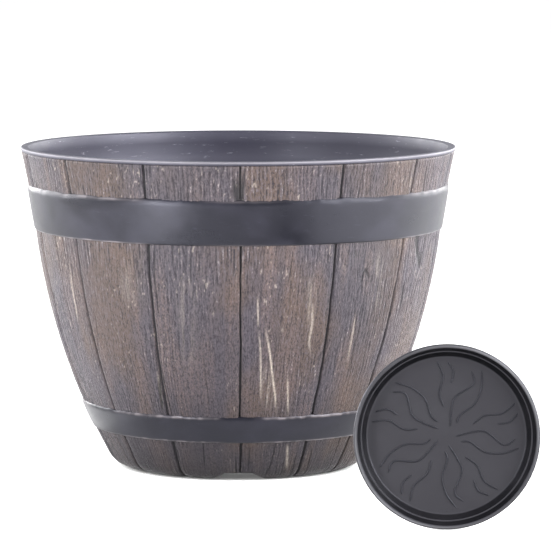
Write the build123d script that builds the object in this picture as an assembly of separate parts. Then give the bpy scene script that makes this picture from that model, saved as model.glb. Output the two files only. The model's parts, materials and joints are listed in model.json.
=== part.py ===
# Half-barrel flower pot: one moulded shell that imitates staves, two dark hoops, and a loose saucer
# that stands on its edge beside it. Millimetres, +Z up, origin at the centre of the pot's foot.
from math import copysign, cos, degrees, hypot, radians, sin, sqrt
import os

from build123d import *

# Outside of the pot: a bowed barrel from the low station to the shoulder, then a flare to the rim
rim_radius = 190.3
pot_height = 280.0
shoulder_drop = 75.0
rim_flare = 13.4
low_radius = 126.1
low_height = 35.0
barrel_bow = 7.1
corner_radius = 22.0
foot_width = 6.8

# Moulded shell
wall = 3.6
lip_width = 7.0
lip_depth = 6.0
lip_bevel = 1.6
floor_height = 14.0
recess_draft = 2.0
drain_count = 6
drain_diameter = 10.0
drain_circle = 105.0

# Arched gaps in the foot that let water and air out
notch_count = 4
notch_width = 47.0
notch_crown = 24.0
notch_height = 6.8

# Joints between the imitation staves
stave_count = 14
stave_turn = 0.8
groove_width = 1.8
groove_depth = 1.2
groove_margin = 3.5

# Hoops, pressed into shallow seats round the shell
upper_hoop_drop = 32.0
upper_hoop_width = 39.4
lower_hoop_lift = 35.1
lower_hoop_width = 24.2
seat_depth = 1.5
hoop_proud = 1.0
hoop_crown = 0.4
hoop_bevel = 0.8
hoop_clearance = 0.15

# Saucer, in its own frame: axis up, open side up
saucer_radius = 74.5
saucer_height = 12.0
saucer_lip_width = 3.4
saucer_lip_drop = 2.6
saucer_lip_bevel = 0.9
saucer_upper_run = 2.3
saucer_step_width = 1.2
saucer_step_height = 6.6
saucer_lower_run = 3.9
saucer_wall = 2.0
rib_width = 1.5
rib_height = 0.7
rib_arms = 5

# Each rib line: stations of (share of the floor's radius, degrees clockwise from its arm's axis)
long_line = [(0.95, -7.5), (0.75, -3.5), (0.54, -9.5), (0.36, -5.0)]
short_line = [(0.93, 0.8), (0.81, 6.0), (0.66, 5.0)]
petal_line = [(0.93, -8.0), (0.74, 0.0), (0.53, 5.5), (0.31, -2.0), (0.20, 5.0)]
petal_back = [(0.87, -15.0), (0.73, -8.5), (0.50, -23.0), (0.33, -25.0), (0.12, -12.0)]

# Where the saucer stands: upright on its edge, open side to the front, clear of the pot's rim
saucer_x = 165.8
saucer_stand_off = 165.2

# The barrel is an arc that bows outwards from the chord between the low station and the shoulder;
# each arc has a centre and a radius, which is negative where the arc bends the other way
shoulder_radius, shoulder_height = rim_radius - rim_flare, pot_height - shoulder_drop
chord_x, chord_z = shoulder_radius - low_radius, shoulder_height - low_height
chord = hypot(chord_x, chord_z)
barrel_r = (chord * chord / 4 + barrel_bow * barrel_bow) / (2 * barrel_bow)
barrel_x = (low_radius + shoulder_radius) / 2 - (barrel_r - barrel_bow) * chord_z / chord
barrel_z = (low_height + shoulder_height) / 2 + (barrel_r - barrel_bow) * chord_x / chord

# The flare leaves the barrel in its own direction and bends on to the rim
out_x = (shoulder_radius - barrel_x) / barrel_r
out_z = (shoulder_height - barrel_z) / barrel_r
flare_r = -(rim_flare**2 + shoulder_drop**2) / (2 * (rim_flare * out_x + shoulder_drop * out_z))
flare_x = shoulder_radius - flare_r * out_x
flare_z = shoulder_height - flare_r * out_z

# The bottom corner rolls from the barrel down to the ground, where the foot's flat ring begins
corner_x = barrel_x + sqrt((barrel_r - corner_radius) ** 2 - (barrel_z - corner_radius) ** 2)
corner_dx = (corner_x - barrel_x) / (barrel_r - corner_radius)
corner_dz = (corner_radius - barrel_z) / (barrel_r - corner_radius)
recess_radius = corner_x - foot_width - recess_draft

# What follows from the pot's height: the hoops' edges, and from the saucer's radius: its rings
upper_hoop_high = pot_height - upper_hoop_drop
upper_hoop_low = upper_hoop_high - upper_hoop_width
lower_hoop_low = lower_hoop_lift
lower_hoop_high = lower_hoop_low + lower_hoop_width
saucer_lip_inside = saucer_radius - saucer_lip_width
saucer_step_outside = saucer_lip_inside - saucer_upper_run
saucer_step_inside = saucer_step_outside - saucer_step_width
saucer_floor_radius = saucer_step_inside - saucer_lower_run


def wall_radius(z, inset=0.0):
    """Radius of the shell's outside at height z, moved inwards by inset along its normal."""
    x, centre, r = barrel_x, barrel_z, barrel_r
    if z > shoulder_height - inset * out_z:
        x, centre, r = flare_x, flare_z, flare_r
    return x + copysign(sqrt((r - inset) ** 2 - (z - centre) ** 2), r)


def wall_arc(low, high, inset=0.0, crown=0.0):
    """Arc up the shell's outside between two heights, with its middle raised by crown."""
    ends = [(wall_radius(z, inset), z) for z in (low, (low + high) / 2, high)]
    ends[1] = (ends[1][0] + crown, ends[1][1])
    return ThreePointArc(*ends)


def corner_arc(inset=0.0):
    """The rolled bottom corner, from its lowest point out to the barrel curve."""
    r = corner_radius - inset
    tangent = (corner_x + r * corner_dx, corner_radius + r * corner_dz)
    bend = radians(-45)
    middle = (corner_x + r * cos(bend), corner_radius + r * sin(bend))
    return ThreePointArc((corner_x, corner_radius - r), middle, tangent)


def outside_edges(inset, top):
    """The outside line from the lowest point of the corner up to the height top."""
    corner = corner_arc(inset)
    turn = shoulder_height - inset * out_z
    return [corner, wall_arc((corner @ 1).Y, turn, inset), wall_arc(turn, top, inset)]


def outline_face(lines):
    """A flat face inside a closed outline of lines and arcs."""
    return make_face([edge for line in lines for edge in line.edges()])


def turned(face, arc=360.0):
    """A solid of revolution about the pot's axis from a flat face in (radius, height)."""
    return revolve(Plane.XZ * face, Axis.Z, arc)


def pot_blank():
    """The full outside form, solid, with its lip's outer edge rounded."""
    edges = outside_edges(0, pot_height)
    bottom, top = edges[0] @ 0, edges[-1] @ 1
    face = outline_face(edges + [Polyline(top, (0, pot_height), (0, 0), bottom)])
    rim = face.vertices().group_by(Axis.Y)[-1].sort_by(Axis.X)[-1]
    return turned(chamfer(rim, lip_bevel))


def inner_space():
    """The room inside: wall at an even thickness, a thicker lip, and a raised floor in a trough."""
    lip_low = pot_height - lip_depth
    edges = outside_edges(wall, lip_low - (lip_width - wall))
    wall_top = edges[-1] @ 1
    lip_inside = wall_radius(lip_low) - lip_width
    raised = floor_height + wall
    riser = recess_radius + wall
    trough = edges[0] @ 0
    edges.append(
        Polyline(
            wall_top,
            (lip_inside, lip_low),
            (rim_radius - lip_width, pot_height),
            (0, pot_height),
            (0, raised),
            (riser, raised),
            (riser + recess_draft, wall),
            trough,
        )
    )
    room = turned(outline_face(edges))
    return room - PolarLocations(0, notch_count, start_angle=-90) * notch_bar(wall)


def notch_bar(cover=0.0):
    """A low tapered bar that runs out through the foot; cover grows it for the shell over a gap."""
    low, high = notch_width / 2 + cover, notch_crown / 2 + cover
    top = notch_height + cover
    slope = (low - high) / top
    under = wall
    section = Polygon(
        (-low - slope * under, -under),
        (low + slope * under, -under),
        (high, top),
        (-high, top),
        align=None,
    )
    length = rim_radius
    return extrude(Plane.YZ * section, length)


def under_space():
    """The recess under the raised floor, drafted so that it opens downwards."""
    wide = recess_radius + recess_draft
    edges = Polyline(
        (0, 0), (wide, 0), (recess_radius, floor_height), (0, floor_height), close=True
    )
    return turned(outline_face([edges]))


def stave_groove():
    """A thin upright wedge that cuts one joint line between staves, narrower towards the foot."""
    edges = outside_edges(groove_depth, pot_height - groove_margin)
    bottom, top = edges[0] @ 0, edges[-1] @ 1
    far = rim_radius + wall
    close = Polyline(top, (far, top.Y), (far, bottom.Y), bottom)
    turn = degrees(groove_width / shoulder_radius)
    return Rot(Z=-turn / 2) * turned(outline_face(edges + [close]), turn)


def hoop_seat(low, high):
    """The shallow channel that a hoop sits in, a clearance taller than the hoop."""
    low, high = low - hoop_clearance, high + hoop_clearance
    floor = wall_arc(low, high, seat_depth)
    far = rim_radius + wall
    return turned(outline_face([floor, Polyline(floor @ 1, (far, high), (far, low), floor @ 0)]))


def hoop(low, high):
    """A flat band that follows the barrel, slightly crowned, with bevelled outer edges."""
    face = wall_arc(low, high, -hoop_proud, hoop_crown)
    back = wall_arc(low, high, seat_depth - hoop_clearance)
    band = outline_face([face, Line(face @ 1, back @ 1), back, Line(back @ 0, face @ 0)])
    outer = [v for v in band.vertices() if v.X > wall_radius(v.Y)]
    return turned(chamfer(outer, hoop_bevel))


def pot_shell():
    """The moulded shell: even wall, notched foot, raised floor with drains, staves and hoop seats."""
    shell = pot_blank() - inner_space() - under_space()
    shell -= PolarLocations(0, notch_count, start_angle=-90) * notch_bar()
    drain = Cylinder(drain_diameter / 2, 4 * floor_height)
    shell -= PolarLocations(drain_circle / 2, drain_count) * drain
    front = -90 + stave_turn
    shell -= PolarLocations(0, stave_count, start_angle=front) * stave_groove()
    shell -= hoop_seat(upper_hoop_low, upper_hoop_high)
    return shell - hoop_seat(lower_hoop_low, lower_hoop_high)


def rib(line, turn):
    """One raised line on the saucer's floor: a band round a smooth curve, narrowed at its ends."""
    points = []
    for share, angle in line:
        a = radians(angle + turn)
        points.append(Vector(share * saucer_floor_radius * sin(a), share * saucer_floor_radius * cos(a)))
    middle = Spline(*points)
    bends = len(line) - 2
    places = [i / (2 * bends) for i in range(2 * bends + 1)]
    sides = []
    for side in (-1, 1):
        half = [side * rib_width * (0.2 if t in (0, 1) else 0.5) for t in places]
        edge = [middle @ t + (middle % t).rotate(Axis.Z, 90) * w for t, w in zip(places, half)]
        sides.append([ThreePointArc(*edge[2 * i : 2 * i + 3]) for i in range(bends)])
    left, right = sides
    tips = [Line(left[0] @ 0, right[0] @ 0), Line(left[-1] @ 1, right[-1] @ 1)]
    outline = outline_face(left + right + tips)
    sunk = saucer_wall / 2
    return extrude(Pos(0, 0, sunk) * outline, saucer_wall - sunk + rib_height)


def saucer():
    """A shallow dish with a stepped wall, a rolled lip and a flame-like pattern of ribs."""
    t = saucer_wall
    lip_low = saucer_height - saucer_lip_drop
    outline = Polyline(
        (0, 0),
        (saucer_floor_radius + t / 2, 0),
        (saucer_step_inside + t, saucer_step_height - t),
        (saucer_step_outside + t, saucer_step_height - t),
        (saucer_lip_inside + t, lip_low),
        (saucer_radius, lip_low),
        (saucer_radius, saucer_height),
        (saucer_lip_inside, saucer_height),
        (saucer_step_outside, saucer_step_height),
        (saucer_step_inside, saucer_step_height),
        (saucer_floor_radius, t),
        (0, t),
        close=True,
    )
    face = outline_face([outline])
    lip = face.vertices().group_by(Axis.Y)[-1]
    dish = turned(chamfer(lip, saucer_lip_bevel))
    pitch = 360 / rib_arms
    for arm in range(rib_arms):
        for line in (long_line, short_line):
            dish += rib(line, arm * pitch)
        for line in (petal_line, petal_back):
            dish += rib(line, (arm + 0.5) * pitch)
    stand = Pos(saucer_x, -(rim_radius + saucer_stand_off), saucer_radius) * Rot(X=90)
    return stand * dish


pieces = {
    "pot_shell": pot_shell(),
    "upper_hoop": hoop(upper_hoop_low, upper_hoop_high),
    "lower_hoop": hoop(lower_hoop_low, lower_hoop_high),
    "saucer": saucer(),
}

os.makedirs("parts", exist_ok=True)
for name, shape in pieces.items():
    solids = shape.solids()
    print(name, len(solids), "solid, volume", round(shape.volume / 1000, 1), "cm3")
    export_step(solids[0] if len(solids) == 1 else Compound(solids), f"parts/{name}.step")
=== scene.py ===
import json
from math import atan2, cos, pi, radians, sin

import bpy
import numpy as np
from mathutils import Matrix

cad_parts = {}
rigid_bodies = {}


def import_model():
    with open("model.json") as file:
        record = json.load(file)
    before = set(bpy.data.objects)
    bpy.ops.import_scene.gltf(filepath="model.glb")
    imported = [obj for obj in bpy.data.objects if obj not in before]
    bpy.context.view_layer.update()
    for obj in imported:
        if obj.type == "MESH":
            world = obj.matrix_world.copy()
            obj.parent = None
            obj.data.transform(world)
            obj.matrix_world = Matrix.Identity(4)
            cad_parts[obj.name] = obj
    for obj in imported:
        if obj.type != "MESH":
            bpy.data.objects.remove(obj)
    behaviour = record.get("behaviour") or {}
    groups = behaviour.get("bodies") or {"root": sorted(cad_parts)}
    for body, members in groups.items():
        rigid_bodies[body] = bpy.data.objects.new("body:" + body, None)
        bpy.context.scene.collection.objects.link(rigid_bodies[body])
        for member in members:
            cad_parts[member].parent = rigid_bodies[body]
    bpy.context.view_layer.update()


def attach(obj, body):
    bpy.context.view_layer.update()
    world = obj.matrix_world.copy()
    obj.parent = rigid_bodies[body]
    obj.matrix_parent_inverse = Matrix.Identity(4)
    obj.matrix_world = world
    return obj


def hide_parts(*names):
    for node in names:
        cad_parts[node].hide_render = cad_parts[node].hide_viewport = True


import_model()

# Lengths are metres, the pot stands on z = 0 with its axis on x = y = 0, and its front faces -y.
# An azimuth is turned from the front (-y) towards the right (+x).

potShape = {
    "rimRadius": 0.1903,
    "height": 0.280,
    "shoulderDrop": 0.075,  # where the outside stops bulging and starts to flare
    "rimFlare": 0.0134,  # how far the rim stands out past the shoulder
    "lowRadius": 0.1261,  # radius at lowHeight
    "lowHeight": 0.035,
    "barrelBow": 0.0071,  # bulge of the barrel past a straight line
    "cornerRadius": 0.022,  # the round between side and foot
    "footWidth": 0.0068,
    "footIn": 0.0012,  # how far the core's foot stops short of the round's centre
    "wall": 0.0036,
    "floorHeight": 0.014,  # underside of the raised floor
    "recessDraft": 0.002,
    "skinDepth": 0.0026,  # how far the core stays behind the wood surface
    "floorEdge": 0.0014,  # round between the riser and the raised floor
    "floorLap": 0.0006,  # how far the core reaches in over the floor plate
    "troughIn": 0.0005,
    "gap": 0.0002,  # how far the core's foot stays off the ground
    "footRounds": [0.0001, 0.0008, 0.0004],
    "troughRound": 0.0016,
    "longestRun": 0.012,  # between two rows of the core
    "columns": 480,
}

lipShape = {
    "width": 0.0070,
    "depth": 0.0060,
    "low": 0.2767,  # where the wood ends and the smooth lip begins
    "tuck": 0.0003,  # how far below that the hidden side ends
    "outerRound": 0.0016,
    "innerRound": 0.0016,
    "edgeRound": 0.0004,
    "setIn": 0.0001,
    "fairing": 0.014,  # how far down the thicker lip runs into the wall
    "fairGap": 0.004,
    "fairRound": 0.005,
    "wearAndHighlightIn": (0.0013, 0.0003),  # the rubbed edge, with its painted highlight, fades in between these distances from the rim
    "wearAndHighlightUp": (0.0010, 0.0024),  # and between these heights over the wood
}

notchShape = {
    "azimuths": [0, 90, 180, 270],
    "width": 0.047,  # at the ground
    "crown": 0.024,  # at its top
    "height": 0.0068,
    "coreLift": 0.0004,  # how far the core's arch, and the skin's back, lie over the wood's
    "backLift": 0.0012,
}


# Shape helpers.

def smooth(low, high, x):
    # A smooth step: 0 below low, 1 above high, and 3t^2 - 2t^3 between them.
    t = np.clip((x - low) / (high - low), 0, 1)
    return t * t * (3 - 2 * t)


def wallCircles(s):
    # Two circles in section: the barrel through the low point and the shoulder, bulged by the bow,
    # and the flare that leaves the shoulder in the same direction and ends at the rim.
    low = np.array([s["lowRadius"], s["lowHeight"]])
    shoulder = np.array([s["rimRadius"] - s["rimFlare"], s["height"] - s["shoulderDrop"]])
    chord = shoulder - low
    length = np.hypot(*chord)
    bow = s["barrelBow"]
    barrelRadius = (length**2 / 4 + bow**2) / (2 * bow)
    across = np.array([-chord[1], chord[0]]) / length
    barrelCentre = (low + shoulder) / 2 + (barrelRadius - bow) * across
    out = (shoulder - barrelCentre) / barrelRadius
    reach = s["rimFlare"] ** 2 + s["shoulderDrop"] ** 2
    flareRadius = -reach / (2 * (s["rimFlare"] * out[0] + s["shoulderDrop"] * out[1]))
    return barrelRadius, barrelCentre, flareRadius, shoulder - flareRadius * out, shoulder, out


barrelRadius, barrelCentre, flareRadius, flareCentre, shoulder, shoulderOut = wallCircles(potShape)


def wallRadius(z, inset=0.0):
    # The circle of each part, solved for its radius at height z; an inset makes the circle smaller.
    barrel = barrelCentre[0] + np.sqrt((barrelRadius - inset) ** 2 - (z - barrelCentre[1]) ** 2)
    flare = flareCentre[0] - np.sqrt((flareRadius - inset) ** 2 - (z - flareCentre[1]) ** 2)
    return np.where(z < shoulder[1] - inset * shoulderOut[1], barrel, flare)


cornerRadius = potShape["cornerRadius"]
cornerX = barrelCentre[0] + np.sqrt(
    (barrelRadius - cornerRadius) ** 2 - (barrelCentre[1] - cornerRadius) ** 2
)
cornerEnd = np.arctan2(cornerRadius - barrelCentre[1], cornerX - barrelCentre[0])  # side end of the round


def cornerArc(inset, count):
    # Points of the round from straight below its centre to where it meets the barrel.
    angle = np.linspace(-pi / 2, cornerEnd, count)
    r = cornerRadius - inset
    return np.stack([cornerX + r * np.cos(angle), cornerRadius + r * np.sin(angle)], 1)


def sideLine(inset, top, count):
    # The side of the pot from the round up to a height, at one inset.
    low = cornerRadius + (cornerRadius - inset) * np.sin(cornerEnd)
    z = np.linspace(low, top, count)[1:]
    return np.stack([wallRadius(z, inset), z], 1)


def roundedLine(points, rounds, steps=6):
    # A polyline whose corners are cut back by the given length and joined by a quadratic curve.
    points = np.array(points, float)
    t = np.linspace(0, 1, steps)[:, None]
    pieces = [points[:1]]
    for before, corner, after, back in zip(points, points[1:], points[2:], rounds):
        a = corner + (before - corner) / np.linalg.norm(before - corner) * back
        b = corner + (after - corner) / np.linalg.norm(after - corner) * back
        pieces.append((1 - t) ** 2 * a + 2 * t * (1 - t) * corner + t**2 * b)
    return np.concatenate(pieces + [points[-1:]])


def divided(points, step):
    # The same line with extra points so that no run is longer than the step.
    lengths = np.linalg.norm(np.diff(points, axis=0), axis=1)
    place = np.concatenate([[0], np.cumsum(lengths)])
    extra = [np.linspace(a, b, max(1, int(np.ceil(n / step))), endpoint=False)
             for a, b, n in zip(place, place[1:], lengths)]
    wanted = np.append(np.concatenate(extra), place[-1])
    return np.stack([np.interp(wanted, place, points[:, k]) for k in (0, 1)], 1)


def fullTurn(count):
    # Azimuths all the way round, evenly spaced, without the last that would meet the first.
    return np.linspace(0, 2 * pi, count + 1)[:-1]


def ringPoint(radius, azimuth, z):
    # A point on a ring round the pot: (r sin a, -r cos a, z).
    radius, azimuth, z = np.broadcast_arrays(radius, azimuth, z)
    return np.stack([radius * np.sin(azimuth), -radius * np.cos(azimuth), z], -1)


def archLift(points, extra=0.0, spread=0.0):
    # Lifts every point that is lower than a notch's arch onto it. The arch's height falls from its crown
    # to the ground in a straight slope on both sides of a line that runs out from the axis.
    x, y = points[..., 0], points[..., 1]
    half, crown = notchShape["width"] / 2 + spread, notchShape["crown"] / 2 + spread
    lifted = points.copy()
    for turn in notchShape["azimuths"]:
        a = radians(turn)
        out = x * sin(a) - y * cos(a)
        aside = np.abs(x * cos(a) + y * sin(a))
        arch = (notchShape["height"] + extra) * np.clip((half - aside) / (half - crown), 0, 1)
        arch = np.where(out > 0, arch, 0)
        lifted[..., 2] = np.maximum(lifted[..., 2], np.where(arch > 0, arch, lifted[..., 2]))
    return lifted


def gridMesh(name, points, closeColumns=True, closeRows=False, poles=(None, None), fields=None):
    # A surface on a grid: rows run along the profile and columns round or along the piece.
    # A pole closes the first or last row with a fan; without closed columns the ends get one flat cap each.
    rows, columns = points.shape[:2]
    index = np.arange(rows * columns).reshape(rows, columns)
    rowNext = np.roll(index, -1, 0) if closeRows else index[1:]
    here = index if closeRows else index[:-1]
    right = np.roll(here, -1, 1)
    upRight = np.roll(rowNext, -1, 1)
    quads = np.stack([here, right, upRight, rowNext], -1)
    if not closeColumns:
        quads = quads[:, :-1]
    faces = quads.reshape(-1, 4).tolist()
    vertices = [points.reshape(-1, 3)]
    count = rows * columns
    if not closeColumns:
        faces.append(index[:, 0].tolist())
        faces.append(index[::-1, -1].tolist())
    for pole, row, flip in ((poles[0], index[0], True), (poles[1], index[-1], False)):
        if pole is None:
            continue
        vertices.append(np.array([pole], float))
        after = np.roll(row, -1)
        a, b = (after, row) if flip else (row, after)
        faces += np.stack([a, b, np.full(columns, count)], 1).tolist()
        count += 1
    mesh = bpy.data.meshes.new(name)
    mesh.from_pydata(np.concatenate(vertices).tolist(), [], faces)
    for key, values in (fields or {}).items():
        store = mesh.attributes.new(key, "FLOAT", "POINT")
        store.data.foreach_set("value", np.ascontiguousarray(values, dtype=np.float32).ravel())
    mesh.validate()
    mesh.shade_smooth()
    return mesh


def newObject(name, data):
    # An object at the origin, put into the scene.
    thing = bpy.data.objects.new(name, data)
    bpy.context.scene.collection.objects.link(thing)
    return thing


def addPiece(name, mesh, body, nodes, material, sharp=None):
    # Puts a finished mesh into the scene, ties it to its body and finish, and hides the nodes it stands in
    # for.
    piece = newObject(name, mesh)
    if sharp:
        mesh.set_sharp_from_angle(angle=radians(sharp))
    mesh.materials.clear()
    mesh.materials.append(material)
    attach(piece, body)
    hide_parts(*nodes)
    print("made", name, len(mesh.vertices), "points,", len(mesh.polygons), "faces")


# Noise that closes round the pot.

noiseGirth = 1.10  # the length round the pot that the strands share
noiseHeight = 0.6  # the length along a strand before its values repeat


def ringNoise(azimuth, along, across, length, seed):
    # Strands stand side by side round the pot, each with its own row of random values at its own offset.
    # A value is read by a smooth step along two neighbouring strands and then across between them.
    rng = np.random.default_rng(seed)
    strands = max(3, int(round(noiseGirth / across)))
    cells = int(round(noiseHeight / length)) + 3
    table = rng.random((strands, cells))
    offset = rng.random(strands) * cells
    place = azimuth / (2 * pi) * strands
    left = np.floor(place).astype(int)

    def strandValue(number):
        number = number % strands
        position = along / length + offset[number]
        cell = np.floor(position).astype(int)
        t = smooth(0, 1, position - cell)
        return table[number, cell % cells] * (1 - t) + table[number, (cell + 1) % cells] * t

    blend = smooth(0, 1, place - left)
    return strandValue(left) * (1 - blend) + strandValue(left + 1) * blend


def turnBetween(azimuth, centre):
    # The turn from a centre azimuth, between -pi and pi.
    return (azimuth - centre + pi) % (2 * pi) - pi


# The carved wood.

staveShape = {
    "count": 14,
    "turn": 0.8,  # degrees from the front to the nearest joint
    "shifts": [-0.2, 1.2, -0.6, -0.9, 0.8, -0.4, 1.1, -1.2, 0.5, -0.6, 1.0, 1.6, -0.7, -0.9],
    "leans": [0.0, 0.3, 2.2, 0.4, -0.8, 0.5, 0.9, -0.6, 0.3, -0.9, 0.6, -0.4, 0.2, 0.9],
    "leanMiddle": 0.14,  # the height at which a leaning joint is in its own place
    "jointDepth": 0.0019,
    "jointWidth": 0.0014,  # half the width at the surface
    "jointSpread": 0.5,  # how far that width varies
    "jointWander": 0.0005,
    "shoulderDrop": 0.00045, # how far a stave's edges are worn down
    "shoulderReach": 0.0026,
    "levelSpread": 0.0004,  # how unevenly the staves stand
    "slowSway": 0.0022,  # how far the grain sways in long and in short waves
    "quickSway": 0.0008,
    "meanRadius": 0.172,
    "knotSpread": 2.2,  # how far a knot pushes the grain, in its own widths
    "strandGain": 0.8,
    "strandSpan": (0.10, 0.90),
    "ridgeShares": (0.04, 0.24, 0.44, 0.28),  # broad waves, grain, fine grain and flecks
    "faintGrain": 0.45,  # strength of the grain in its faint patches
    "footGrain": 0.75,  # and at the foot
    "footSpan": (0.05, 0.20),
    "grainDepth": 0.00080,
    "grainLevel": 0.72,  # the ridge value that lies on the plain outside
    "pitSpan": (0.80, 0.95),
    "pitDepth": 0.00035,
    "crackSpan": (0.008, 0.034),
    "crackDepth": 0.0007,
    "crackFull": 0.0010,  # the listed depth that counts as one whole crackDepth
    "crackWander": 0.0016,
    "crackEnd": 0.012,  # over this length a crack fades out
    "columns": 1680,
}

stavePaint = {
    "crackShade": 0.85,  # how dark cracks and pits are beside a joint
    "pitShade": 0.5,
    "broadTone": 0.25,
    "tanLeast": 0.45,
    "tanGrain": 0.35,  # how much of the tan stays between the ridges
    "streakFade": 0.3,  # the share of a pale streak's length over which it fades
    "broadStreak": 0.002,  # half width from which a streak is broken into strands
    "paleLeast": 0.8,
    "curlShare": 0.38,
    "curlLeast": 0.08,
}

# Noise in the wood: width and length of a strand, and the seed.
woodNoise = {
    "slowSway": (0.034, 0.085, 11),
    "quickSway": (0.012, 0.026, 12),
    "broad": (0.0080, 0.060, 13),
    "grain": (0.0019, 0.022, 14),
    "fine": (0.0012, 0.011, 15),
    "fleck": (0.0015, 0.0030, 16),
    "crack": (0.0130, 0.090, 18),
    "jointWidth": (0.05, 0.022, 20),
    "crackLine": (0.03, 0.024, 21),
    "slowWander": (0.03, 0.030, 40),  # each joint adds its number to these two seeds
    "quickWander": (0.03, 0.009, 60),
}

# Noise that comes in patches: the same three, and the two values between which it fades in.
woodPatches = {
    "pit": (0.024, 0.045, 17, 0.40, 0.65),
    "crack": (0.022, 0.050, 19, 0.66, 0.78),
    "tan": (0.0085, 0.055, 22, 0.42, 0.80),
    "tanCloud": (0.045, 0.070, 23, 0.30, 0.80),
    "rubbed": (0.0019, 0.020, 24, 0.30, 0.75),
    "curl": (0.0016, 0.0030, 25, 0.86, 0.95),
    "curlCloud": (0.024, 0.036, 26, 0.55, 0.75),
    "strong": (0.042, 0.055, 27, 0.35, 0.65),
}

# Long single cracks: azimuth in degrees, lowest and highest point, half width, depth.
staveCracks = [
    (-23.9, 0.148, 0.209, 0.0008, 0.0010),
    (4.2, 0.004, 0.036, 0.0007, 0.0009),
    (53.4, 0.247, 0.279, 0.0007, 0.0008),
    (27.8, 0.247, 0.276, 0.0006, 0.0006),
    (-38.5, 0.070, 0.128, 0.0006, 0.0006),
    (14.6, 0.150, 0.200, 0.0006, 0.0006),
    (39.0, 0.095, 0.165, 0.0006, 0.0007),
    (-10.5, 0.062, 0.120, 0.0006, 0.0006),
    (-62.0, 0.120, 0.205, 0.0006, 0.0007),
    (75.0, 0.080, 0.170, 0.0006, 0.0007),
    (104.0, 0.110, 0.200, 0.0007, 0.0008),
    (131.0, 0.060, 0.140, 0.0006, 0.0007),
    (158.0, 0.140, 0.205, 0.0007, 0.0008),
    (-96.0, 0.070, 0.150, 0.0007, 0.0008),
    (-128.0, 0.120, 0.200, 0.0006, 0.0007),
    (-163.0, 0.065, 0.130, 0.0007, 0.0008),
]

# Knots that push the grain aside: azimuth in degrees, height, half width, half length, push.
staveKnots = [
    (25.0, 0.125, 0.006, 0.011, 0.0050),
    (-42.0, 0.085, 0.006, 0.012, 0.0045),
    (-8.0, 0.175, 0.005, 0.012, 0.0030),
    (66.0, 0.150, 0.006, 0.012, 0.0045),
    (112.0, 0.100, 0.007, 0.013, 0.0050),
    (171.0, 0.165, 0.006, 0.012, 0.0045),
    (-120.0, 0.140, 0.007, 0.013, 0.0050),
    (-75.0, 0.262, 0.005, 0.009, 0.0035),
]

# Pale rubbed streaks: azimuth at the foot and at the top in degrees, lowest and highest point, half width
# and strength.
stavePales = [
    (14.0, 7.6, 0.058, 0.142, 0.0008, 0.95),
    (7.9, 6.0, 0.068, 0.140, 0.0007, 0.70),
    (17.8, 15.7, 0.057, 0.098, 0.0007, 0.70),
    (5.9, 5.2, 0.136, 0.168, 0.0007, 0.6),
    (10.5, 8.5, 0.060, 0.110, 0.0045, 0.20),
    (21.4, 19.2, 0.007, 0.035, 0.0010, 0.9),
    (23.7, 21.2, 0.110, 0.163, 0.0013, 0.5),
    (21.5, 20.0, 0.130, 0.186, 0.0040, 0.25),
    (-33.0, -31.0, 0.150, 0.205, 0.0080, 0.20),
    (-16.0, -15.0, 0.095, 0.190, 0.0060, 0.18),
    (-27.5, -26.8, 0.062, 0.100, 0.0009, 0.6),
    (-58.0, -56.0, 0.130, 0.190, 0.0010, 0.6),
    (44.0, 42.0, 0.140, 0.205, 0.0070, 0.20),
    (36.5, 36.0, 0.100, 0.150, 0.0009, 0.5),
    (152.0, 148.0, 0.080, 0.160, 0.0010, 0.8),
    (156.0, 153.0, 0.100, 0.150, 0.0050, 0.25),
    (-141.0, -138.0, 0.120, 0.190, 0.0010, 0.8),
    (-128.0, -127.0, 0.070, 0.150, 0.0060, 0.20),
    (96.0, 93.0, 0.100, 0.180, 0.0010, 0.7),
    (-88.0, -90.0, 0.075, 0.140, 0.0060, 0.20),
]

stavePitch = 2 * pi / staveShape["count"]


def woodValue(name, azimuth, z, extra=0):
    # A named noise of the wood, from 0 to 1.
    across, length, seed = woodNoise[name]
    return ringNoise(azimuth, z, across, length, seed + extra)


def woodPatch(name, azimuth, z):
    # A named noise through a smooth step: 0 below its low value and 1 above its high one.
    across, length, seed, low, high = woodPatches[name]
    return smooth(low, high, ringNoise(azimuth, z, across, length, seed))


def liftedTo(least, share):
    # A share from 0 to 1, lifted so that it runs from the least value to 1.
    return least + (1 - least) * share


def strandDetail(name, azimuth, z):
    # How far a strand stands above the mean of its two neighbours, about a middle of one half, through a
    # smooth step.
    step = 2 * pi * woodNoise[name][0] / noiseGirth
    here = woodValue(name, azimuth, z)
    beside = [woodValue(name, azimuth + turn, z) for turn in (-step, step)]
    return smooth(*staveShape["strandSpan"], 0.5 + staveShape["strandGain"] * (here - sum(beside) / 2))


def grainTurns(azimuth, z, radius):
    # The azimuth at which the grain is read: the point's own, a slow and a quick sway, and a push round each
    # knot that is a bell in shape and changes side at the knot's middle.
    s = staveShape
    sway = s["slowSway"] * (2 * woodValue("slowSway", azimuth, z) - 1)
    sway += s["quickSway"] * (2 * woodValue("quickSway", azimuth, z) - 1)
    for turn, height, width, length, push in staveKnots:
        aside = turnBetween(azimuth, radians(turn)) * radius
        near = np.exp(-((aside / (s["knotSpread"] * width)) ** 2) - ((z - height) / length) ** 2)
        sway -= push * near * np.tanh(aside / width)
    return azimuth + sway / s["meanRadius"]


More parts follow.
